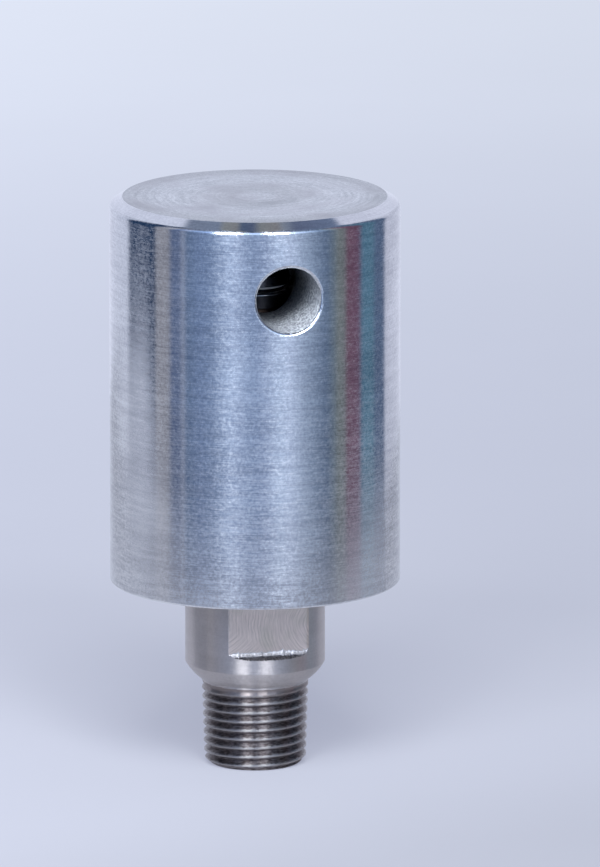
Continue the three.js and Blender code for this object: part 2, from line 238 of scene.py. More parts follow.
def soft_shading(piece, angle=35):
    """Smooth faces with sharp edges past an angle, and normals led by the large faces."""
    bm = bmesh.new()
    bm.from_mesh(piece.data)
    bmesh.ops.remove_doubles(bm, verts=bm.verts, dist=1e-7)
    bmesh.ops.dissolve_degenerate(bm, dist=1e-7, edges=bm.edges)
    for face in bm.faces:
        face.smooth = True
    for edge in bm.edges:
        edge.smooth = edge.is_manifold and edge.calc_face_angle(0) < math.radians(angle)
    bm.to_mesh(piece.data)
    bm.free()
    modifier = piece.modifiers.new("normals", "WEIGHTED_NORMAL")
    modifier.keep_sharp = True
    modifier.weight = 100
    apply_modifier(piece, modifier)
    return piece


def round_normals(piece, radius_mm, low_mm, high_mm):
    """Exact radial normals on the outer round wall of that radius, so that it mirrors cleanly."""
    mesh = piece.data
    normals = [loop.vector.copy() for loop in mesh.corner_normals]
    for face in mesh.polygons:
        centre = face.center / MM
        on_wall = abs(face.normal.z) < 0.05 and abs(math.hypot(centre.x, centre.y) - radius_mm) < 0.05
        if not on_wall or not low_mm < centre.z < high_mm:
            continue
        for index in face.loop_indices:
            co = mesh.vertices[mesh.loops[index].vertex_index].co
            normals[index] = Vector((co.x, co.y, 0)).normalized()
    mesh.normals_split_custom_set(normals)


def paint(piece, materials, material_of):
    """Gives each face the material that the function picks from its centre in millimetres, its
    distance from the axis and its normal."""
    for material in materials:
        piece.data.materials.append(material)
    for face in piece.data.polygons:
        centre = face.center / MM
        picked = material_of(centre, math.hypot(centre.x, centre.y), face.normal)
        face.material_index = materials.index(picked)


def finish_piece(piece, material, body, slot_name, *nodes):
    """Gives a piece its material, unless it has some, and says what it rides on and replaces."""
    if not piece.data.materials:
        piece.data.materials.append(material)
    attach(piece, body)
    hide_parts(*nodes)


# ---- material helpers ----
class Nodes:
    """Builds a node tree with short calls. A value given to a call is a number, a colour or
    another node's output."""

    def __init__(self, tree):
        self.tree = tree
        tree.nodes.clear()

    def new(self, kind, **settings):
        node = self.tree.nodes.new("ShaderNode" + kind)
        for key, value in settings.items():
            setattr(node, key, value)
        return node

    def put(self, socket, value):
        if isinstance(value, bpy.types.NodeSocket):
            self.tree.links.new(value, socket)
        else:
            socket.default_value = value

    def fill(self, node, values):
        """Puts values into the node's first inputs."""
        for socket, value in zip(node.inputs, values):
            self.put(socket, value)
        return node.outputs[0]

    def math(self, operation, *values):
        return self.fill(self.new("Math", operation=operation), values)

    def add(self, a, b):
        return self.math("ADD", a, b)

    def minus(self, a, b):
        return self.math("SUBTRACT", a, b)

    def times(self, a, b):
        return self.math("MULTIPLY", a, b)

    def over(self, a, b):
        return self.math("DIVIDE", a, b)

    def length(self, a, b):
        """How far the point (a, b) is from the origin."""
        return self.math("SQRT", self.add(self.times(a, a), self.times(b, b)))

    def blend(self, *parts):
        """The sum of values, each times its share."""
        total = None
        for value, share in parts:
            part = self.times(value, share)
            total = part if total is None else self.add(total, part)
        return total

    def combine(self, x, y, z):
        return self.fill(self.new("CombineXYZ"), (x, y, z))

    def split(self, vector):
        node = self.new("SeparateXYZ")
        self.put(node.inputs[0], vector)
        return tuple(node.outputs)

    def scale(self, vector, factor):
        node = self.new("VectorMath", operation="SCALE")
        self.put(node.inputs[0], vector)
        self.put(node.inputs["Scale"], factor)
        return node.outputs[0]

    def position(self):
        """Object coordinates in millimetres, as x, y and z."""
        coordinates = self.new("TexCoord")
        return self.split(self.scale(coordinates.outputs["Object"], 1 / MM))

    def noise(self, vector, scale, detail=2.0, roughness=0.5, w=None):
        node = self.new("TexNoise", noise_dimensions="3D" if w is None else "4D")
        self.put(node.inputs["Vector"], vector)
        if w is not None:
            self.put(node.inputs["W"], w)
        node.inputs["Scale"].default_value = scale
        node.inputs["Detail"].default_value = detail
        node.inputs["Roughness"].default_value = roughness
        return node.outputs[0]

    def cells(self, vector, scale):
        """How far each point is from the nearest of many scattered points."""
        node = self.new("TexVoronoi", feature="F1")
        self.put(node.inputs["Vector"], vector)
        node.inputs["Scale"].default_value = scale
        return node.outputs[0]

    def remap(self, value, low, high, out_low=0.0, out_high=1.0, smooth=False):
        node = self.new("MapRange", interpolation_type="SMOOTHSTEP" if smooth else "LINEAR")
        return self.fill(node, (value, low, high, out_low, out_high))

    def mix(self, factor, a, b, how="MIX"):
        node = self.new("Mix", data_type="RGBA", blend_type=how)
        for index, value in ((0, factor), (6, a), (7, b)):
            self.put(node.inputs[index], value)
        return node.outputs[2]

    def tint(self, a, b):
        """The product of two colours."""
        return self.mix(1.0, a, b, "MULTIPLY")

    def ramp(self, place, stops):
        """Colours along a line. Each stop is a place from 0 to 1 and a colour."""
        node = self.new("ValToRGB")
        elements = node.color_ramp.elements
        elements.remove(elements[1])
        for index, (position, colour) in enumerate(stops):
            stop = elements[0] if index == 0 else elements.new(position)
            stop.position = position
            stop.color = colour
        self.put(node.inputs[0], place)
        return node.outputs[0]


class Material(Nodes):
    def __init__(self, name):
        self.material = bpy.data.materials.new(name)
        self.material.use_nodes = True
        super().__init__(self.material.node_tree)
        self.output = self.new("OutputMaterial")
        self.shader = self.new("BsdfPrincipled")
        self.put(self.output.inputs["Surface"], self.shader.outputs[0])

    def surface(self, colour, metallic, roughness):
        self.put(self.shader.inputs["Base Color"], colour)
        self.shader.inputs["Metallic"].default_value = metallic
        self.put(self.shader.inputs["Roughness"], roughness)

    def brush_round(self, anisotropy):
        """Stretches highlights across marks that run round Z."""
        self.shader.inputs["Anisotropic"].default_value = anisotropy
        self.shader.inputs["Anisotropic Rotation"].default_value = 0.25
        tangent = self.new("Tangent", direction_type="RADIAL", axis="Z")
        self.put(self.shader.inputs["Tangent"], tangent.outputs[0])

    def bump(self, height, strength, depth_mm):
        node = self.new("Bump")
        node.inputs["Strength"].default_value = strength
        node.inputs["Distance"].default_value = depth_mm * MM
        self.put(node.inputs["Height"], height)
        self.put(self.shader.inputs["Normal"], node.outputs[0])


def rgb(r, g, b):
    return (r, g, b, 1.0)


def grey(value):
    return rgb(value, value, value)


def turned_metal(name, light, dark, polish, groove_mm=0.25, groove=0.35, stroke_mm=6.0,
                 anisotropy=0.95, stain=None, stain_from=0.5, tones=None):
    """Metal finished on a lathe: fine rings round Z, broken into strokes of uneven polish, with
    faint blotches. polish is the roughness of the smoothest and the roughest strokes. tones are
    pairs of a radius and how light the metal is there."""
    n = Material(name)
    x, y, z = n.position()
    r = n.length(x, y)
    safe_r = n.math("MAXIMUM", r, 0.2)
    turn_x, turn_y = n.over(x, safe_r), n.over(y, safe_r)

    def strokes(length, width, detail):
        """Noise stretched along the turning direction. length and width are in millimetres."""
        around = WEIGHT_R / length
        vector = n.combine(n.times(turn_x, around), n.times(turn_y, around), n.over(z, width))
        return n.noise(vector, 1.0, detail, 0.6, n.over(r, width))

    fine = strokes(stroke_mm, groove_mm, 3.0)
    broad = strokes(5 * stroke_mm, 6 * groove_mm, 2.0)
    place = n.combine(x, y, z)
    blotch = n.noise(place, 0.07, 4.0)
    grain = n.noise(place, 1.6, 4.0, 0.7)
    tone = n.blend((fine, 0.25), (broad, 0.2), (blotch, 0.2), (grain, 0.35))
    colour = n.mix(n.remap(tone, 0.42, 0.58), rgb(*dark), rgb(*light))
    if stain:
        patch = n.blend((blotch, 0.6), (broad, 0.4))
        colour = n.mix(n.remap(patch, stain_from, stain_from + 0.16, 0.0, 0.85), colour, rgb(*stain))
    if tones:
        wavy = n.add(r, n.remap(broad, 0.3, 0.7, -1.2, 1.2))
        reach = 30.0
        stops = [(radius / reach, grey(value)) for radius, value in tones]
        colour = n.tint(colour, n.ramp(n.over(wavy, reach), stops))
    uneven = n.blend((fine, 0.5), (grain, 0.5))
    n.surface(colour, 1.0, n.remap(uneven, 0.38, 0.64, *polish))
    n.brush_round(anisotropy)
    n.bump(n.add(fine, n.times(grain, 0.3)), groove, 0.02)
    return n.material


def thread_metal(name):
    """Cut thread: bright bare crests, and darker down in the groove, partly from dark dried lubricant
    and partly painted shade.
    """
    n = Material(name)
    x, y, z = n.position()
    crest = n.add(n.times(z, TAPER), GAUGE_R - GAUGE_Z * TAPER)
    depth = n.minus(crest, n.length(x, y))
    grime = n.noise(n.combine(x, y, z), 1.3, 4.0, 0.6)
    depth = n.add(depth, n.remap(grime, 0.3, 0.7, -0.24, 0.2))
    speckle = n.noise(n.combine(x, y, n.times(z, 3.0)), 0.9, 4.0, 0.7)
    bare = n.mix(speckle, rgb(0.34, 0.32, 0.31), rgb(0.50, 0.48, 0.47))
    # the groove's colour: dried dirt and painted shade, darker than the crests
    dirt_and_shade = n.mix(n.remap(speckle, 0.4, 0.62), rgb(0.12, 0.10, 0.098), rgb(0.30, 0.265, 0.26))
    colour = n.mix(n.remap(depth, 0.08, 0.36, smooth=True), bare, dirt_and_shade)
    run_out = n.mix(speckle, rgb(0.24, 0.205, 0.195), rgb(0.38, 0.335, 0.32))
    high = n.add(z, n.remap(grime, 0.3, 0.7, -0.5, 0.5))
    faded = n.remap(high, THREAD_LENGTH - THREAD_FADE, THREAD_LENGTH - THREAD_FADE / 2, smooth=True)
    n.surface(n.mix(faded, colour, run_out), 1.0, n.remap(speckle, 0.35, 0.65, 0.34, 0.52))
    n.brush_round(0.95)
    n.bump(speckle, 0.35, 0.05)
    return n.material


def torn_metal(name, dark, light, metallic, grain=1.1, depth_mm=0.3, painted_hole_shading=False):
    """The torn, blotchy face that a drill or a blunt mill leaves. The side hole's wall gets painted
    light and shade on top: painted light lowest on the right, where light falls in through the hole, and
    painted shade upwards and inwards into the hole."""
    n = Material(name)
    x, y, z = n.position()
    vector = n.combine(x, n.times(y, 0.6), z)
    coarse = n.noise(vector, grain, 5.0, 0.7)
    pits = n.cells(vector, 1.5 * grain)
    colour = n.mix(n.remap(coarse, 0.38, 0.6), rgb(*dark), rgb(*light))
    # painted light and shade on the side hole's wall
    if painted_hole_shading:
        above = n.minus(z, OUTLET_Z)
        painted_light_side = n.minus(n.times(x, 0.77), n.times(above, 0.64))
        inward = n.minus(n.add(y, n.times(coarse, 5.0)), painted_light_side)
        # painted light: lightest low on the right, where light falls in through the hole
        shade = n.remap(painted_light_side, -1.0, 6.0, 0.40, 1.0)
        colour = n.tint(colour, n.combine(shade, shade, shade))
        # painted shade: a dark colour mixed in deeper into the hole
        painted_inner_shade = n.remap(inward, -22.0, -8.0, 0.0, 0.92)
        colour = n.mix(painted_inner_shade, colour, rgb(0.04, 0.045, 0.06))
    n.surface(colour, metallic, n.remap(pits, 0.1, 0.8, 0.3, 0.6))
    n.bump(n.blend((coarse, 0.7), (pits, 0.3)), 1.0, depth_mm)
    return n.material


def milled_metal(name):
    """A flat cut by an end mill: two sets of overlapping arcs left by the tool."""
    n = Material(name)
    x, y, z = n.position()
    place = n.combine(x, y, z)
    wobble = n.noise(place, 0.35, 2.0)

    def arcs(centre_x, centre_z, spacing):
        distance = n.length(n.minus(x, centre_x), n.minus(z, centre_z))
        distance = n.add(distance, n.times(wobble, 0.9))
        wave = n.math("SINE", n.times(distance, 2 * math.pi / spacing))
        scratches = n.combine(n.times(distance, 4.0), 0.0, n.times(z, 0.3))
        return n.add(n.times(wave, 0.05), n.noise(scratches, 1.0, 3.0))

    main = arcs(11.0, 30.5, 0.66)
    crossing = arcs(-22.0, 46.0, 0.8)
    corner = n.blend((x, -0.6), (z, -1.0))
    share = n.remap(corner, -26.5, -23.0, smooth=True)
    height = n.add(n.times(main, n.minus(1.0, share)), n.times(crossing, share))
    stain = n.noise(place, 0.16, 3.0)
    colour = n.mix(n.remap(height, 0.25, 0.75), rgb(0.54, 0.465, 0.42), rgb(0.82, 0.715, 0.65))
    colour = n.mix(n.remap(stain, 0.5, 0.7, 0.0, 0.4), colour, rgb(0.42, 0.42, 0.33))
    n.surface(colour, 1.0, n.remap(height, 0.1, 0.9, 0.3, 0.46))
    n.bump(height, 0.7, 0.045)
    return n.material


def soft_plastic(name):
    """Waxy white seal, faintly mottled."""
    n = Material(name)
    mottle = n.noise(n.combine(*n.position()), 1.5, 3.0)
    colour = n.mix(mottle, rgb(0.78, 0.77, 0.72), rgb(0.90, 0.89, 0.86))
    n.surface(colour, 0.0, n.remap(mottle, 0.3, 0.7, 0.4, 0.6))
    n.bump(mottle, 0.2, 0.05)
    return n.material


BRIGHT = turned_metal("bright_turned_steel", (0.84, 0.85, 0.86), (0.54, 0.55, 0.58), (0.08, 0.26), 0.2,
                      0.24, 3.0, 0.9)
CHAMFER = turned_metal("chamfered_steel", (0.84, 0.85, 0.87), (0.66, 0.67, 0.70), (0.03, 0.10), 0.15,
                       0.2, 3.0, 0.5)
TOP_TONES = ((3, 0.95), (5, 0.80), (9, 0.82), (12, 0.93), (17, 1.0), (21, 0.94), (24, 0.76))
TOP_FACE = turned_metal("faced_steel", (0.86, 0.89, 0.91), (0.34, 0.37, 0.40), (0.10, 0.28), 0.7, 1.0,
                        12.0, 0.5, (0.27, 0.27, 0.31), 0.46, TOP_TONES)
# Darker and browner than the weight's steel: painted shade for the shaded floor under the weight that
# the neck mirrors.
NECK = turned_metal("lathe_steel", (0.59, 0.55, 0.535), (0.47, 0.435, 0.42), (0.3, 0.5), 0.3, 0.6)
INSIDE = turned_metal("bored_steel", (0.52, 0.51, 0.51), (0.40, 0.39, 0.39), (0.25, 0.45), 0.3, 0.6,
                      6.0, 0.6)
HARD = turned_metal("hardened_steel", (0.13, 0.13, 0.14), (0.07, 0.07, 0.08), (0.12, 0.28), 0.2, 0.3)
# Near-black steel for the seat ring: painted shade inside the weight.
SHADE_DARK_STEEL = turned_metal("shade_darkened_steel", (0.05, 0.05, 0.055), (0.03, 0.03, 0.035), (0.35, 0.5), 0.2, 0.3)
# Near-black steel for the valve disc: painted shade inside the weight.
SHADE_DARK_DISC_STEEL = turned_metal("shade_darkened_disc_steel", (0.13, 0.13, 0.14), (0.08, 0.08, 0.09), (0.25, 0.4), 0.2, 0.3)
SPRING = turned_metal("spring_steel", (0.16, 0.15, 0.15), (0.09, 0.08, 0.08), (0.3, 0.45), 0.2, 0.3,
                      4.0, 0.3)
BRONZE = turned_metal("bearing_bronze", (0.66, 0.44, 0.20), (0.50, 0.31, 0.13), (0.22, 0.4), 0.25, 0.5)
# Copper darkened to near black: painted shade for the gasket seen through the side hole.
SHADE_DARK_COPPER = turned_metal("shade_darkened_copper", (0.07, 0.048, 0.04), (0.04, 0.03, 0.027), (0.4, 0.55), 0.3, 0.3)
THREADED = thread_metal("thread_steel")
# The side hole's wall: near white where the painted light falls, with painted shade inwards.
DRILLED = torn_metal("drilled_steel", (0.28, 0.30, 0.35), (0.95, 0.98, 1.0), 0.3, 1.9, 0.9, painted_hole_shading=True)
# Near-black torn steel for the ledge under the flats' lips: its darkness is painted shade.
TORN_AND_SHADED = torn_metal("torn_and_shaded_steel", (0.04, 0.04, 0.045), (0.30, 0.29, 0.30), 0.9, 2.6, 0.35)
LIP = torn_metal("burred_steel", (0.40, 0.38, 0.37), (0.84, 0.81, 0.80), 0.6, 1.1, 0.12)
MILLED = milled_metal("milled_steel")
SEAL = soft_plastic("seal_plastic")


# ---- weight ----
def outlet_cutter():
    """The side hole's tool: a rod along -Y with a slightly torn wall, whose mouth opens by a small
    arc where it meets the round outside, so that the edge is broken evenly all the way round."""
    edge, steps, sides, rows = 0.8, 8, 128, 48
    inner_depth = 7.5  # where the torn wall starts, inside the weight's bore
    rings = [(OUTLET_R, 0.0, None)]
    for row in range(rows):
        rings.append((OUTLET_R, row / (rows - 1), None))
    for k in range(1, steps + 1):
        turn = 0.5 * math.pi * k / steps
        rings.append((OUTLET_R + edge * (1 - math.cos(turn)), 1.0, edge * (1 - math.sin(turn))))
    rings.append((rings[-1][0], 1.0, -2.0))
    points = []
    for index, (radius, share, drop) in enumerate(rings):
        for side in range(sides):
            angle = 2 * math.pi * side / sides
            x = radius * math.cos(angle)
            mouth = math.sqrt(WEIGHT_R ** 2 - x * x)
            if drop is None:
                depth = 0.0 if index == 0 else inner_depth + (mouth - edge - inner_depth) * share
            else:
                depth = mouth - drop
            fade = 1.0 if drop is None else max(0.0, drop) / edge
            torn = noise.noise(Vector((math.cos(angle) * 9, math.sin(angle) * 9, depth * 0.9)))
            torn += 0.6 * noise.noise(Vector((math.cos(angle) * 21, math.sin(angle) * 21, depth * 2.1)))
            r = radius + 0.05 * torn * fade
            points.append((r * math.cos(angle), -depth, OUTLET_Z + r * math.sin(angle)))
    return swept("outlet_cutter", points, sides)


def screw_position(index):
    angle = (index + 0.5) * 2 * math.pi / SCREW_COUNT
    return SCREW_CIRCLE_R * math.cos(angle), SCREW_CIRCLE_R * math.sin(angle)


def make_weight():
    piece = lathe("weight_shell", [
        (RECESS_R, WEIGHT_BOTTOM), (WEIGHT_R, WEIGHT_BOTTOM),
        (WEIGHT_R, WEIGHT_TOP - RIM_DROP, RIM_ROUND), (WEIGHT_R - RIM_WIDTH, WEIGHT_TOP),
        (0, WEIGHT_TOP), (0, BORE_CEILING), (BORE_R, BORE_CEILING), (BORE_R, CHAMBER_TOP),
        (CHAMBER_R, CHAMBER_TOP), (CHAMBER_R, RECESS_TOP), (RECESS_R, RECESS_TOP),
    ], FINE, 0.4, 8)
    boolean(piece, outlet_cutter())
    for index in range(SCREW_COUNT):
        drill(piece, SCREW_SHANK_R + FIT, RECESS_TOP - 1, RECESS_TOP + 8, *screw_position(index))
    drill(piece, SPINDLE_R + FIT, BORE_CEILING - 1, SPINDLE_END + 0.4)
    soft_shading(piece)
    round_normals(piece, WEIGHT_R, WEIGHT_BOTTOM + 0.4, WEIGHT_TOP - RIM_DROP)

    def material_of(centre, radius, normal):
        in_outlet = math.hypot(centre.x, centre.z - OUTLET_Z) < OUTLET_R + 0.1
        past_bore = centre.y < -BORE_R + 1.3 and radius < WEIGHT_R - 0.3
        if in_outlet and past_bore and abs(normal.y) < 0.5:
            return DRILLED
        if centre.z > WEIGHT_TOP - 0.02 and radius < WEIGHT_R - RIM_WIDTH:
            return TOP_FACE
        if centre.z > WEIGHT_TOP - RIM_DROP and normal.z > 0.8:
            return CHAMFER
        return INSIDE if radius < WEIGHT_R - RIM_WIDTH - 1 else BRIGHT

    paint(piece, (BRIGHT, TOP_FACE, DRILLED, INSIDE, CHAMFER), material_of)
    finish_piece(piece, BRIGHT, "weight", "bright_steel", "weight")


make_weight()


# ---- inlet body ----
def crest_radius(z):
    return GAUGE_R + (z - GAUGE_Z) * TAPER


def thread_shape(share):
    """Height of the thread's form, from 0 at the root to 1 at the crest, over one pitch. The crest
    is a narrow land, the root is round, and the flanks between them are straight."""
    rise = abs(2 * (share % 1.0) - 1)
    raised = min(1.0, max(0.0, (rise - 0.04) / 0.84))
    return 0.7 * raised + 0.3 * raised * raised * (3 - 2 * raised)


def thread_blank():
    """A tapered rod with a right-hand helical groove that fades out below the shoulder. Each column
    of points runs up the rod, and starts higher than the last, so that the helix closes."""
    sides, per_turn = 160, 20
    rows = (math.ceil(THREAD_LENGTH / THREAD_PITCH) + 3) * per_turn
    start = (THREAD_TURN - 2) * THREAD_PITCH
    points = []

    def add_column(side, count):
        angle = 2 * math.pi * side / sides
        for row in range(count + 1):
            z = start + (row / per_turn + side / sides) * THREAD_PITCH
            fade = min(1.0, max(0.0, (THREAD_LENGTH - 0.3 - z) / THREAD_FADE))
            depth = THREAD_DEPTH * (1 - thread_shape(row / per_turn)) * fade
            around = Vector((math.cos(angle) * 6, math.sin(angle) * 6, z * 1.1))
            worn = 0.10 * max(0.0, noise.noise(around) - 0.12) + 0.02 * noise.noise(around * 3)
            r = crest_radius(z) - depth - max(0.0, worn)
            points.append((r * math.cos(angle), r * math.sin(angle), z))

    add_column(0, rows + per_turn)
    for side in range(1, sides):
        add_column(side, rows)

    def at(side, row):
        if side == 0:
            return row
        if side == sides:
            return row + per_turn
        return rows + per_turn + 1 + (side - 1) * (rows + 1) + row

    faces = []
    for side in range(sides):
        for row in range(rows):
            faces.append([at(side, row), at(side + 1, row), at(side + 1, row + 1), at(side, row + 1)])
    for row, z, top in ((0, start, False), (rows, start + (rows / per_turn + 1) * THREAD_PITCH, True)):
        loop = [at(side, row) for side in range(sides + 1)]
        loop += [at(0, row + step) for step in range(per_turn - 1, 0, -1)]
        hub = len(points)
        points.append((0, 0, z))
        for i, a in enumerate(loop):
            b = loop[(i + 1) % len(loop)]
            faces.append([hub, a, b] if top else [hub, b, a])
    return link("inlet_fitting", mesh_from("inlet_fitting", points, faces))


def flat_cutter(side):
    """Tool for one wrench flat, swept along X. Its foot leaves a small ragged fillet on the flat and
    a torn ledge that falls away outwards, as a blunt end mill does, and it breaks the flat's ends."""
    end_x, clear = math.sqrt(NECK_R ** 2 - FLAT_Y ** 2), NECK_R + 4
    stations = [-1.5 * NECK_R + 0.7 * NECK_R * i / 6 for i in range(6)]
    stations += [-end_x - 1 + (2 * end_x + 2) * i / 120 for i in range(121)]
    stations += [0.8 * NECK_R + 0.7 * NECK_R * i / 6 for i in range(1, 7)]
    points = []
    for x in stations:
        y = FLAT_Y - 0.42 * max(0.0, abs(x) - end_x + 0.2)
        seed = 7.0 * side
        wave = noise.noise(Vector((x * 0.55, seed, 1.0)))
        chip = noise.noise(Vector((x * 2.3, seed, 4.0)))
        speck = noise.noise(Vector((x * 7.0, seed, 9.0)))
        foot = FLAT_BOTTOM + 0.10 * wave + 0.10 * chip
        lip_height = 0.75 + 0.45 * wave + 0.30 * chip
        lip_width = 0.42 + 0.14 * chip + 0.05 * speck
        outline = [(clear, NECK_TOP + 1), (y, NECK_TOP + 1), (y, foot + lip_height)]
        for share in (0.35, 0.7, 1.0):
            outline.append((y + lip_width * share ** 2, foot + lip_height * (1 - share) + 0.05 * speck))
        outline += [
            (y + lip_width + 0.12, foot - 0.20 - 0.20 * speck),
            (y + 1.2, foot - 0.36 - 0.26 * chip + 0.14 * speck),
            (y + 2.0, foot - 0.52 - 0.16 * wave + 0.26 * speck),
            (clear, foot - 0.56),
        ]
        points += [(x, side * depth, z) for depth, z in outline]
    return swept("flat_cutter", points, len(outline))


def make_neck():
    """The wrench neck and its slightly rounded shoulder."""
    foot = crest_radius(THREAD_LENGTH) - 0.05
    slope, steps = [], 8
    for i in range(steps + 1):
        t = i / steps
        out = 4 * 0.3 * t * (1 - t) * math.sqrt(0.5)
        z = THREAD_LENGTH + (SHOULDER_TOP - THREAD_LENGTH) * t
        slope.append((foot + (NECK_R - foot) * t + out, z - out))
    neck = lathe("neck", [(0, THREAD_LENGTH), *slope, (NECK_R, NECK_TOP), (0, NECK_TOP)], FINE, 0.25, 4)
    for side in (-1, 1):
        boolean(neck, flat_cutter(side))
    return neck


def make_inlet():
    piece = thread_blank()
    envelope = lathe("thread_envelope", [
        (0, 0), (THREAD_END_R, 0), (THREAD_END_R + CHAMFER_SLOPE * THREAD_CHAMFER, THREAD_CHAMFER),
        (NECK_R, THREAD_CHAMFER + 1), (NECK_R, THREAD_LENGTH - 0.1),
        (crest_radius(THREAD_LENGTH) - 0.5, THREAD_LENGTH + 1), (0, THREAD_LENGTH + 1),
    ], 160, 0)
    boolean(piece, envelope, "INTERSECT")
    boolean(piece, make_neck(), "UNION")
    boolean(piece, lathe("inlet_bore", [
        (0, -1), (INLET_R + 1, -1), (INLET_R + 0.6, 0), (INLET_R, 0.6), (INLET_R, NECK_TOP),
        (0, NECK_TOP),
    ], MEDIUM, 0))
    drill(piece, SOCKET_R, SOCKET_FLOOR, NECK_TOP + 1, sides=128)
    soft_shading(piece, 32)

    def material_of(centre, radius, normal):
        outward = abs(centre.y)
        if centre.z > FLAT_BOTTOM - 1.2 and SOCKET_R + 0.5 < outward and radius < NECK_R - 0.02:
            if centre.z > FLAT_BOTTOM - 0.05 and abs(normal.y) > 0.25:
                return MILLED if normal.z < 0.1 else LIP
            # the ledge under the lip gets the near-black torn steel as painted shade
            return TORN_AND_SHADED if centre.z < NECK_TOP - 0.5 else NECK
        on_thread = 0.03 < centre.z < THREAD_LENGTH - 0.3 and radius > INLET_R + 1
        return THREADED if on_thread else NECK

    paint(piece, (NECK, MILLED, THREADED, TORN_AND_SHADED, LIP), material_of)
    finish_piece(piece, NECK, "nozzle", "turned_steel", "inlet_body")


make_inlet()


# ---- riser, seat and stop ----
def open_ring(name, inner, outer, low, thickness):
    """A retaining ring with its gap towards +Y."""
    piece = ring(name, inner, outer, low, low + thickness, MEDIUM, 0.1)
    gap = 0.4 * inner
    boolean(piece, block("gap", (-gap, 0, low - 1), (gap, outer + 1, low + thickness + 1)))
    return soft_shading(piece)


def make_riser(foot_low):
    foot_r, foot_top, shank_room = SOCKET_R - FIT, 36.0, 0.3
    shank_hole = SEAT_SHANK_R + FIT
    tube = lathe("riser", [
        (INLET_R, foot_low), (foot_r, foot_low), (foot_r, foot_top), (RISER_R, foot_top),
        (RISER_R, RISER_STEP), (RISER_UPPER_R, RISER_STEP), (RISER_UPPER_R, RISER_TOP),
        (shank_hole, RISER_TOP), (shank_hole, SEAT_SHANK_BOTTOM - shank_room),
        (INLET_R, SEAT_SHANK_BOTTOM - shank_room),
    ])
    groove_top = STOP_WASHER_TOP + STOP_CLIP_THICKNESS + 2 * REST
    boolean(tube, ring("groove", STOP_GROOVE_R, RISER_R + 1, STOP_WASHER_TOP, groove_top, MEDIUM, 0))
    finish_piece(soft_shading(tube), INSIDE, "nozzle", "turned_steel", "riser_tube")


def make_seat():
    """The seat ring: near-black all over as painted shade, but for the flange's edge, which keeps bright
    steel and so catches a glint.
    """
    lip_height, edge_round = 0.4, 0.18
    seat = lathe("nozzle_seat", [
        (SEAT_BORE_R, SEAT_SHANK_BOTTOM), (SEAT_SHANK_R, SEAT_SHANK_BOTTOM),
        (SEAT_SHANK_R, SEAT_FLANGE_BOTTOM), (SEAT_FLANGE_R, SEAT_FLANGE_BOTTOM),
        (SEAT_FLANGE_R, SEAT_TOP - SEAT_EDGE), (SEAT_FLANGE_R - SEAT_EDGE, SEAT_TOP),
        (SEAT_LIP_R, SEAT_TOP), (SEAT_LIP_R - 0.2, SEAT_TOP + lip_height),
        (SEAT_BORE_R, SEAT_TOP + lip_height),
    ], 160, edge_round)

    def material_of(centre, radius, normal):
        # bright steel on the edge, painted shade everywhere else
        on_edge = centre.z > SEAT_TOP - SEAT_EDGE - edge_round and radius > SEAT_LIP_R + 0.1
        return CHAMFER if on_edge else SHADE_DARK_STEEL

    paint(seat, (SHADE_DARK_STEEL, CHAMFER), material_of)
    finish_piece(seat, SHADE_DARK_STEEL, "nozzle", "hardened_steel", "seat_ring")


def make_nozzle_pieces():
    low = SOCKET_FLOOR + REST
    high = low + 1.1
    joint = ring("joint_washer", 5.3, SOCKET_R - FIT, low, high)
    finish_piece(joint, SHADE_DARK_COPPER, "nozzle", "copper", "joint_ring")
    make_riser(high + REST)
    washer = ring("stop_collar", RISER_UPPER_R + RUNNING, 10.8, RISER_STEP + REST, STOP_WASHER_TOP)
    finish_piece(washer, HARD, "nozzle", "hardened_steel", "stop_washer")
    low = STOP_WASHER_TOP + REST
    clip = open_ring("stop_retainer", STOP_GROOVE_R + FIT, 9.2, low, STOP_CLIP_THICKNESS)
    finish_piece(clip, SPRING, "nozzle", "spring_steel", "stop_clip")
    gasket = ring("seat_washer", 6.4, 7.15, RISER_TOP + REST, SEAT_FLANGE_BOTTOM - REST, MEDIUM, 0.2)
    finish_piece(gasket, SHADE_DARK_COPPER, "nozzle", "copper", "seat_gasket")
    make_seat()


make_nozzle_pieces()


# ---- disc, seal and wing guide ----
def make_wing_guide():
    reach, core, hub, wing = 5.1, 1.4, 4.2, 1.4
    low, hub_low, high = 87.0, 94, SEAL_BOTTOM - 2 * REST
    piece = rod("guide", hub, hub_low, high)
    boolean(piece, rod("core", core, low, hub_low + 1), "UNION")
    for index in range(3):
        fin = block("fin", (0, -wing / 2, low), (reach + 1, wing / 2, high))
        fin.data.transform(Matrix.Rotation(index * 2 * math.pi / 3, 4, "Z"))
        boolean(piece, fin, "UNION")
    boolean(piece, rod("turned_down", reach, low - 1, high + 1, sides=MEDIUM), "INTERSECT")
    boolean(piece, rod("stud", STUD_R, high - 1, SEAL_TOP + 1.4), "UNION")
    finish_piece(soft_shading(piece), INSIDE, "valve", "turned_steel", "wing_guide")


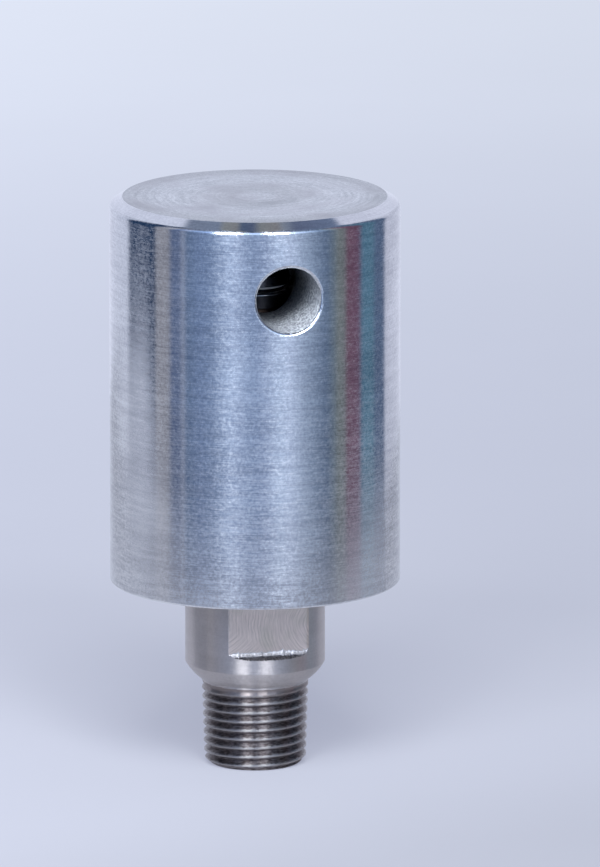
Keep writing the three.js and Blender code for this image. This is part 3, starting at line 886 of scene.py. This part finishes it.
def make_disc():
    disc_r, rim_top, boss, top, cup, cup_floor = 6.8, 100.2, 4.9, 104.2, 3.92, 101.0
    seal_room, seal_ceiling, skirt = SEAL_R + FIT, SEAL_TOP + REST, SEAL_TOP - 0.7
    disc = lathe("disc_holder", [
        (0, seal_ceiling), (seal_room, seal_ceiling), (seal_room, skirt), (disc_r, skirt),
        (disc_r, rim_top), (boss, rim_top + 0.8), (boss, top), (cup, top), (cup, cup_floor),
        (0, cup_floor),
    ], 128, 0.12)
    drill(disc, STUD_R + FIT, SEAL_TOP - 1, SEAL_TOP + 1.6)
    low, high = SWIVEL_CLIP_LOW - REST, SWIVEL_CLIP_HIGH + REST
    boolean(disc, ring("groove", cup - 0.1, SWIVEL_CLIP_R + FIT, low, high, MEDIUM, 0))
    finish_piece(soft_shading(disc), SHADE_DARK_DISC_STEEL, "valve", "turned_steel", "valve_disc")


def make_valve_pieces():
    make_wing_guide()
    seal = ring("soft_seal", STUD_R + FIT, SEAL_R, SEAL_BOTTOM, SEAL_TOP)
    finish_piece(seal, SEAL, "valve", "seal_plastic", "seal_disc")
    make_disc()
    thickness = SWIVEL_CLIP_HIGH - SWIVEL_CLIP_LOW
    clip = open_ring("swivel_retainer", 2.6, SWIVEL_CLIP_R, SWIVEL_CLIP_LOW, thickness)
    finish_piece(clip, SPRING, "valve", "spring_steel", "swivel_clip")


make_valve_pieces()


# ---- pieces fixed to the weight ----
def make_plate_screw(index):
    """A socket-head screw with a chamfered head."""
    number = index + 1
    low = PLATE_BOTTOM + 0.2
    high = low + SCREW_HEAD_HEIGHT
    piece = lathe("plate_bolt_%d" % number, [
        (0, low), (SCREW_HEAD_R, low), (SCREW_HEAD_R, high), (SCREW_SHANK_R, high),
        (SCREW_SHANK_R, high + SCREW_LENGTH), (0, high + SCREW_LENGTH),
    ], SMALL, 0.25)
    key_r = KEY_FLATS / math.sqrt(3)
    drill(piece, key_r, low - 1, low + KEY_DEPTH, sides=6)
    lead_in = [(0, low - 0.5), (key_r + 0.8, low - 0.5), (key_r - 0.25, low + 0.3), (0, low + 0.3)]
    boolean(piece, lathe("lead_in", lead_in, SMALL, 0))
    shift(piece, *screw_position(index))
    finish_piece(soft_shading(piece), HARD, "weight", "hardened_steel", "plate_screw_%d" % number)


def make_bottom_plate():
    piece = ring("base_plate", BUSH_R + FIT, PLATE_R, PLATE_BOTTOM, PLATE_TOP, FINE, 0.3)
    for index in range(SCREW_COUNT):
        x, y = screw_position(index)
        drill(piece, SCREW_SHANK_R + 2 * FIT, PLATE_BOTTOM - 1, PLATE_TOP + 1, x, y)
        depth = PLATE_BOTTOM + SCREW_HEAD_HEIGHT + SCREW_HEAD_ROOM
        room = SCREW_HEAD_R + SCREW_HEAD_ROOM
        sink = lathe("sink", [
            (0, PLATE_BOTTOM - 0.5), (room + 0.75, PLATE_BOTTOM - 0.5), (room, PLATE_BOTTOM + 0.25),
            (room, depth), (0, depth),
        ], SMALL, 0)
        boolean(piece, shift(sink, x, y))
    finish_piece(soft_shading(piece), INSIDE, "weight", "turned_steel", "bottom_plate")


def make_bush():
    bore, flange_high, high = RISER_R + RUNNING, RECESS_TOP + 1.9, RISER_STEP - LIFT
    bush = lathe("slide_bush", [
        (bore, PLATE_BOTTOM), (BUSH_R, PLATE_BOTTOM), (BUSH_R, RECESS_TOP), (BUSH_FLANGE_R, RECESS_TOP),
        (BUSH_FLANGE_R, flange_high), (BUSH_SLEEVE_R, flange_high), (BUSH_SLEEVE_R, high), (bore, high),
    ], 128, 0.3)
    finish_piece(bush, BRONZE, "weight", "bronze", "guide_bush")


def make_spindle():
    tip, tip_low, collar, collar_low, collar_high = 2.3, 101.05, 3.4, 102.1, 102.9
    spindle = lathe("press_spindle", [
        (0, tip_low), (0.55 * tip, tip_low + 0.14), (tip, tip_low + 0.7), (tip, collar_low),
        (collar, collar_low), (collar, collar_high), (tip, collar_high), (tip, collar_high + 1.6),
        (SPINDLE_R, collar_high + 2), (SPINDLE_R, SPINDLE_END), (0, SPINDLE_END),
    ], SMALL, 0.12)
    finish_piece(spindle, HARD, "weight", "hardened_steel", "pivot_spindle")


def make_lock_nut():
    flats, thickness, crown = 10, 2.8, 0.6
    high = BORE_CEILING - REST
    low, corner, crown_r = high - thickness, flats / math.sqrt(3), 0.47 * flats
    nut = rod("spindle_nut", corner, low, high, sides=6)
    boolean(nut, lathe("nut_crown", [
        (0, low), (crown_r, low), (corner + 0.1, low + crown), (corner + 0.1, high - crown),
        (crown_r, high), (0, high),
    ], SMALL, 0), "INTERSECT")
    drill(nut, SPINDLE_R + FIT, low - 1, high + 1)
    finish_piece(soft_shading(nut), HARD, "weight", "hardened_steel", "lock_nut")


make_bottom_plate()
for screw in range(SCREW_COUNT):
    make_plate_screw(screw)
make_bush()
make_spindle()
make_lock_nut()


# ---- camera ----
CAMERA_AZIMUTH, CAMERA_ELEVATION = math.radians(-14), math.radians(12.4)
CAMERA_DISTANCE = 3.2
VIEW_HEIGHT = 0.1731  # height of what the picture takes in, at the valve
RIGHT = Vector((math.cos(CAMERA_AZIMUTH), math.sin(CAMERA_AZIMUTH), 0))
AIM_HEIGHT, AIM_ASIDE = 0.06705, 0.00899
AIM = Vector((0, 0, AIM_HEIGHT)) + RIGHT * AIM_ASIDE


def place_facing(thing, aim, turn, tilt, distance):
    """Puts a camera or a lamp at a distance from a point, facing it. The angles are in radians."""
    level = math.cos(tilt)
    out = Vector((math.sin(turn) * level, -math.cos(turn) * level, math.sin(tilt)))
    thing.location = aim + out * distance
    thing.rotation_mode = "QUATERNION"
    thing.rotation_quaternion = (-out).to_track_quat("-Z", "Y")


def make_camera():
    data = bpy.data.cameras.new("camera")
    camera = link("camera", data)
    bpy.context.scene.camera = camera
    place_facing(camera, AIM, CAMERA_AZIMUTH, CAMERA_ELEVATION, CAMERA_DISTANCE)
    data.lens = data.sensor_width * CAMERA_DISTANCE / VIEW_HEIGHT
    data.clip_start, data.clip_end = 0.1, 20.0
    data.dof.use_dof = False


make_camera()


# ---- floor ----
# How pale the seen floor is, by distance from the valve in millimetres, and the mirrored one, by
# distance behind it. These tones are painted light and shade: darker near the valve, paler far off, and
# on the mirrored one darker in front.
FLOOR_TONES = [(0, 0.53), (150, 0.51), (290, 0.535), (430, 0.585), (680, 0.70), (900, 0.74)]
MIRRORED_TONES = [(-200, 0.36), (-110, 0.38), (-50, 0.49), (40, 0.53), (150, 0.51), (290, 0.535),
                  (430, 0.585), (680, 0.70), (900, 0.74)]
FLOOR_GLOW = 0.68
BACKDROP = (0.76, 0.78, 0.87)  # the plain colour that the camera sees beyond the floor
# How far the floor that metal can mirror reaches, by azimuth in degrees from the camera.
FLOOR_REACH = [(-180, 0.34), (-120, 0.42), (-98, 0.44), (-76, 0.30), (-50, 0.22), (0, 0.21), (60, 0.23),
               (95, 0.26), (180, 0.34)]
SEEN_REACH = 6.0


def floor_material(name, mirrored):
    """A pale table lit mostly from below, so that shadows stay faint. It is clear from beneath. Away
    from the valve the seen one is lit from below only, so that the lamps don't burn it out, and far off
    it fades into the backdrop. Its tones hold painted light and shade: paler far off, lighter to the
    left, darker in front to the right on the seen one, and darker to the sides on the mirrored one."""
    n = Material(name)
    x, y, z = n.position()
    back_x, back_y = -math.sin(CAMERA_AZIMUTH), math.cos(CAMERA_AZIMUTH)
    back = n.blend((x, back_x), (y, back_y))
    right = n.minus(n.times(x, back_y), n.times(y, back_x))
    reach = n.length(x, y)
    tones = MIRRORED_TONES if mirrored else FLOOR_TONES
    first, last = tones[0][0], tones[-1][0]
    place = n.remap(back if mirrored else reach, first, last)
    stops = [((distance - first) / (last - first), grey(value)) for distance, value in tones]
    # painted light: the floor lighter to the left and darker to the right
    light = n.remap(right, -75.0, 75.0, 1.04, 0.94)
    # painted shade: the mirrored floor darker to the sides, the seen one darker in front to the right
    if mirrored:
        aside = n.math("ABSOLUTE", right)
        dim = n.add(n.remap(aside, 70.0, 170.0, 1.0, 0.72), n.remap(aside, 210.0, 330.0, 0.0, 0.42))
    else:
        corner = n.minus(back, n.times(right, 0.8))
        dim = n.remap(corner, -120.0, -15.0, 0.89, 1.0, smooth=True)
    light = n.times(light, dim)
    tone = n.tint(n.ramp(place, stops), n.combine(light, light, light))
    fibre = n.noise(n.combine(x, y, z), 0.02, 4.0)
    paper = n.tint(n.mix(fibre, rgb(0.98, 0.98, 1.0), rgb(1.0, 1.0, 1.02)), tone)
    base = n.tint(paper, grey(0.37))
    near_glow = rgb(0.87, 0.92, 1.16)
    if mirrored:
        glow = n.tint(paper, n.mix(place, near_glow, rgb(0.90, 0.95, 1.08)))
    else:
        away = n.remap(reach, 200.0, 900.0, smooth=True)
        base = n.mix(away, base, grey(0.0))
        glow = n.tint(paper, n.mix(away, near_glow, rgb(1.48, 1.58, 1.80)))
        far = n.remap(reach, 900.0, 3500.0, smooth=True)
        glow = n.mix(far, glow, rgb(*[value / FLOOR_GLOW for value in BACKDROP]))
    n.surface(base, 0.0, 0.9)
    n.put(n.shader.inputs["Emission Color"], glow)
    n.shader.inputs["Emission Strength"].default_value = FLOOR_GLOW
    n.shader.inputs["Specular IOR Level"].default_value = 0.0
    geometry = n.new("NewGeometry")
    clear = n.new("BsdfTransparent")
    sides = (geometry.outputs["Backfacing"], n.shader.outputs[0], clear.outputs[0])
    n.put(n.output.inputs["Surface"], n.fill(n.new("MixShader"), sides))
    return n.material


def floor_piece(name, outline, mirrored):
    mesh = bpy.data.meshes.new(name)
    mesh.from_pydata(outline, [], [list(range(len(outline)))])
    mesh.materials.append(floor_material(name, mirrored))
    piece = link(name, mesh)
    piece.visible_glossy = mirrored
    piece.visible_camera = piece.visible_diffuse = not mirrored
    piece.visible_shadow = False


def make_floor():
    """A wide floor that the camera and the soft light see, and a small cloth-sized one that only
    metal mirrors, because in the metal the room beyond it shows instead."""
    sides, seen, mirrored = 144, [], []
    for side in range(sides):
        azimuth = 360 * side / sides - 180
        radius = 0
        for (low, start), (high, end) in zip(FLOOR_REACH, FLOOR_REACH[1:]):
            if low <= azimuth <= high:
                t = (azimuth - low) / (high - low)
                t = t * t * (3 - 2 * t)
                radius = start * (1 - t) + end * t
        turn = math.radians(azimuth - 90) + CAMERA_AZIMUTH
        mirrored.append(Vector((math.cos(turn) * radius, math.sin(turn) * radius, 0)))
        seen.append(Vector((math.cos(turn) * SEEN_REACH, math.sin(turn) * SEEN_REACH, 0)))
    floor_piece("seen_floor", seen, False)
    floor_piece("mirrored_floor", mirrored, True)


make_floor()


# ---- studio ----
# What stands round the valve, by azimuth in degrees from the camera, positive to its right. The
# polished metal mirrors it as upright bands.
STUDIO = [
    (-180, (0.76, 0.80, 0.96)),  # white backdrop
    (-122, (0.66, 0.71, 0.88)),
    (-116, (0.02, 0.05, 0.12)),  # navy curtain
    (-87, (0.02, 0.05, 0.12)),
    (-84, (0.32, 0.33, 0.39)),   # grey door
    (-73, (0.32, 0.33, 0.39)),
    (-69, (0.12, 0.17, 0.31)),
    (-62, (0.14, 0.19, 0.33)),
    (-59, (0.33, 0.38, 0.52)),   # door frame
    (-55.5, (0.14, 0.21, 0.36)),
    (-44, (0.18, 0.26, 0.45)),
    (-34, (0.21, 0.30, 0.50)),
    (-20, (0.44, 0.57, 0.84)),   # left window
    (-14, (0.43, 0.55, 0.81)),
    (-1, (0.28, 0.38, 0.60)),
    (9, (0.33, 0.43, 0.66)),
    (20, (0.53, 0.66, 0.92)),    # right window
    (28, (0.57, 0.69, 0.95)),
    (40, (0.36, 0.46, 0.65)),
    (50, (0.23, 0.31, 0.46)),
    (59, (0.13, 0.19, 0.31)),    # slate wall
    (66, (0.15, 0.20, 0.26)),
    (70, (0.19, 0.22, 0.23)),    # khaki screen
    (76, (0.18, 0.20, 0.22)),
    (79, (0.17, 0.09, 0.14)),    # maroon curtain
    (91, (0.16, 0.09, 0.15)),
    (95, (0.10, 0.21, 0.32)),    # teal panel
    (107, (0.10, 0.21, 0.31)),
    (112, (0.10, 0.15, 0.26)),
    (124, (0.10, 0.15, 0.26)),
    (127, (0.60, 0.63, 0.78)),   # white backdrop
    (180, (0.76, 0.80, 0.96)),
]
BACKDROP_TOP, BACKDROP_TILT = 55.5, 0.08  # elevation where the dim ceiling starts, lower to the right
HIGH_WINDOW_GAIN = 2.8  # how much brighter the room is high up in front
HIGH_WINDOW_FOOT, HIGH_WINDOW_HEAD = (12, 34), (55, 42)  # elevations where that fades in and out
# Beams and panels of the ceiling, by their place across it: sideways over upwards, from -0.5 to 0.5.
CEILING = [
    (-0.50, (0.22, 0.26, 0.36)),
    (-0.20, (0.20, 0.25, 0.36)),
    (-0.17, (0.25, 0.27, 0.29)),
    (-0.10, (0.25, 0.26, 0.28)),
    (-0.07, (0.09, 0.13, 0.22)),
    (-0.01, (0.10, 0.13, 0.22)),
    (0.03, (0.24, 0.26, 0.28)),
    (0.12, (0.25, 0.25, 0.27)),
    (0.16, (0.24, 0.28, 0.36)),
    (0.22, (0.13, 0.16, 0.26)),
    (0.50, (0.15, 0.20, 0.32)),
]


def make_world():
    world = bpy.data.worlds.new("studio")
    bpy.context.scene.world = world
    world.use_nodes = True
    n = Nodes(world.node_tree)
    x, y, z = n.split(n.new("TexCoord").outputs["Generated"])
    right_x, right_y = math.cos(CAMERA_AZIMUTH), math.sin(CAMERA_AZIMUTH)
    sideways = n.blend((x, right_x), (y, right_y))
    front = n.minus(n.times(x, right_y), n.times(y, right_x))

    def climb(height, start, end):
        """Goes from 0 to 1 between two elevations in degrees."""
        return n.remap(height, math.sin(math.radians(start)), math.sin(math.radians(end)), smooth=True)

    angle = n.math("ARCTAN2", x, n.times(y, -1.0))
    turn = n.over(n.minus(angle, CAMERA_AZIMUTH), 2 * math.pi)
    around = n.math("FRACT", n.add(turn, 1.5))
    walls = n.ramp(around, [(azimuth / 360 + 0.5, rgb(*colour)) for azimuth, colour in STUDIO])
    gain = n.times(climb(z, *HIGH_WINDOW_FOOT), n.math("MAXIMUM", front, 0.0))
    gain = n.times(gain, climb(z, *HIGH_WINDOW_HEAD))
    gain = n.add(n.times(gain, HIGH_WINDOW_GAIN), 1.0)
    across = n.over(sideways, n.math("MAXIMUM", z, 0.1))
    roof = n.ramp(n.add(across, 0.5), [(place + 0.5, rgb(*colour)) for place, colour in CEILING])
    height = n.add(z, n.times(sideways, BACKDROP_TILT))
    roof_share = climb(height, BACKDROP_TOP - 2, BACKDROP_TOP + 2)
    mirrored = n.fill(n.new("Background"), (n.mix(roof_share, n.scale(walls, gain), roof),))
    seen = n.fill(n.new("Background"), (rgb(*BACKDROP),))
    path = n.new("LightPath")
    pick = n.fill(n.new("MixShader"), (path.outputs["Is Camera Ray"], mirrored, seen))
    n.put(n.new("OutputWorld").inputs[0], pick)


make_world()


LAMP_AIM = Vector((0, 0, 0.07))


def softbox(name, azimuth, elevation, distance, width, height, power, mirrored=True):
    """A soft rectangular light aimed at the valve. Azimuth is in degrees from the camera."""
    data = bpy.data.lights.new(name, "AREA")
    data.shape = "RECTANGLE"
    data.size, data.size_y = width, height
    data.energy = power
    data.color = (0.93, 0.96, 1.0)
    light = link(name, data)
    turn, tilt = math.radians(azimuth) + CAMERA_AZIMUTH, math.radians(elevation)
    place_facing(light, LAMP_AIM, turn, tilt, distance)
    light.visible_camera = False
    light.visible_glossy = mirrored


softbox("left_window", -22, 34, 1.6, 0.45, 0.6, 12.5)
softbox("right_window", 19, 34, 1.6, 0.45, 0.6, 10)
softbox("key", 2, 50, 1.6, 0.7, 0.7, 27, mirrored=False)
softbox("overhead", 0, 80, 1.8, 2.0, 2.0, 8, mirrored=False)

bpy.context.scene.view_settings.view_transform = "Standard"
